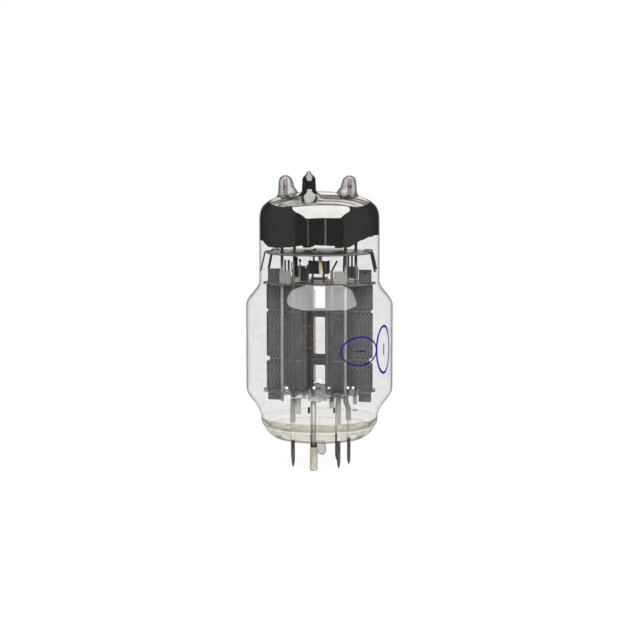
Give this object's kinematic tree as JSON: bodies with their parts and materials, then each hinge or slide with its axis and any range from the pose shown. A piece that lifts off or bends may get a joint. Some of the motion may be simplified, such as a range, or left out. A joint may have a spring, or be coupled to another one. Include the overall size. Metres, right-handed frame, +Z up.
{
  "type": "vacuum tube",
  "caption": "Power vacuum tube: stepped glass bulb on a moulded glass pin base, with a knurled black anode between micas, a heat shield, getter mirror and sealed top lugs.",
  "frame": {"origin": "centre of the plane the pin tips stand on", "axes": "+Z up along the bulb, -Y towards the thick pin, +X along the wide side of the anode"},
  "size_m": [0.0628, 0.0628, 0.1277],
  "materials": {
    "clear_glass": "clear, slightly green where thick",
    "nickel_plate": "worn warm nickel plating",
    "dark_pin_metal": "dark oxidised pin wire",
    "getter_mirror": "dark evaporated metal mirror",
    "mica_sheet": null,
    "blackened_plate": "carbon-blackened nickel, knurled",
    "copper_post": "plain copper",
    "grid_wire": "dull grey wire",
    "cathode_coating": "white oxide coating on nickel",
    "white_ceramic": "sintered white alumina",
    "bright_nickel": "bright nickel",
    "grey_nickel": "dull grey nickel",
    "tab_nickel": "matt grey nickel sheet",
    "yellow_ribbon": "pale yellow metal ribbon",
    "shield_metal": "bluish nickel sheet",
    "molybdenum_rod": "reddish oxidised molybdenum"
  },
  "bodies": {
    "root": {"anode_front_shell": "blackened_plate", "anode_rear_shell": "blackened_plate", "bulb_spring_front_left": "grid_wire", "bulb_spring_front_right": "grid_wire", "bulb_spring_rear_left": "grid_wire", "bulb_spring_rear_right": "grid_wire", "cap_rod_left": "molybdenum_rod", "cap_rod_right": "molybdenum_rod", "cap_strap_left": "bright_nickel", "cap_strap_right": "bright_nickel", "cathode_sleeve_left": "cathode_coating", "cathode_sleeve_right": "cathode_coating", "cathode_tab_left": "blackened_plate", "exhaust_tip_film": "getter_mirror", "getter_film": "getter_mirror", "getter_lead_strip": "yellow_ribbon", "getter_tray_left": "grey_nickel", "getter_tray_right": "grey_nickel", "glass_base": "clear_glass", "glass_bulb": "clear_glass", "grid_post_left_inner": "copper_post", "grid_post_left_outer": "copper_post", "grid_post_right_inner": "copper_post", "grid_post_right_outer": "copper_post", "grid_radiator": "blackened_plate", "grid_winding_left": "grid_wire", "grid_winding_right": "grid_wire", "heat_shield_disc": "shield_metal", "heater_bus_plate": "bright_nickel", "heater_left": "white_ceramic", "heater_link_wire": "grid_wire", "heater_right": "white_ceramic", "lead_ribbon_1": "bright_nickel", "lead_ribbon_2": "grey_nickel", "lead_ribbon_3": "bright_nickel", "lead_ribbon_4": "grey_nickel", "lead_ribbon_5": "bright_nickel", "lead_ribbon_6": "grey_nickel", "lower_mica": "mica_sheet", "support_rod_front_left": "bright_nickel", "support_rod_front_right": "bright_nickel", "support_rod_rear_left": "bright_nickel", "support_rod_rear_right": "bright_nickel", "thick_pin": "nickel_plate", "thin_pin_1": "dark_pin_metal", "thin_pin_2": "dark_pin_metal", "thin_pin_3": "dark_pin_metal", "thin_pin_4": "dark_pin_metal", "thin_pin_5": "dark_pin_metal", "thin_pin_6": "dark_pin_metal", "tie_plate_front_left": "tab_nickel", "tie_plate_front_right": "tab_nickel", "tie_plate_rear_left": "tab_nickel", "tie_plate_rear_right": "tab_nickel", "tie_post_front_left": "grey_nickel", "tie_post_front_right": "grey_nickel", "tie_post_rear_left": "grey_nickel", "tie_post_rear_right": "grey_nickel", "upper_mica": "mica_sheet"}
  },
  "joints": []
}
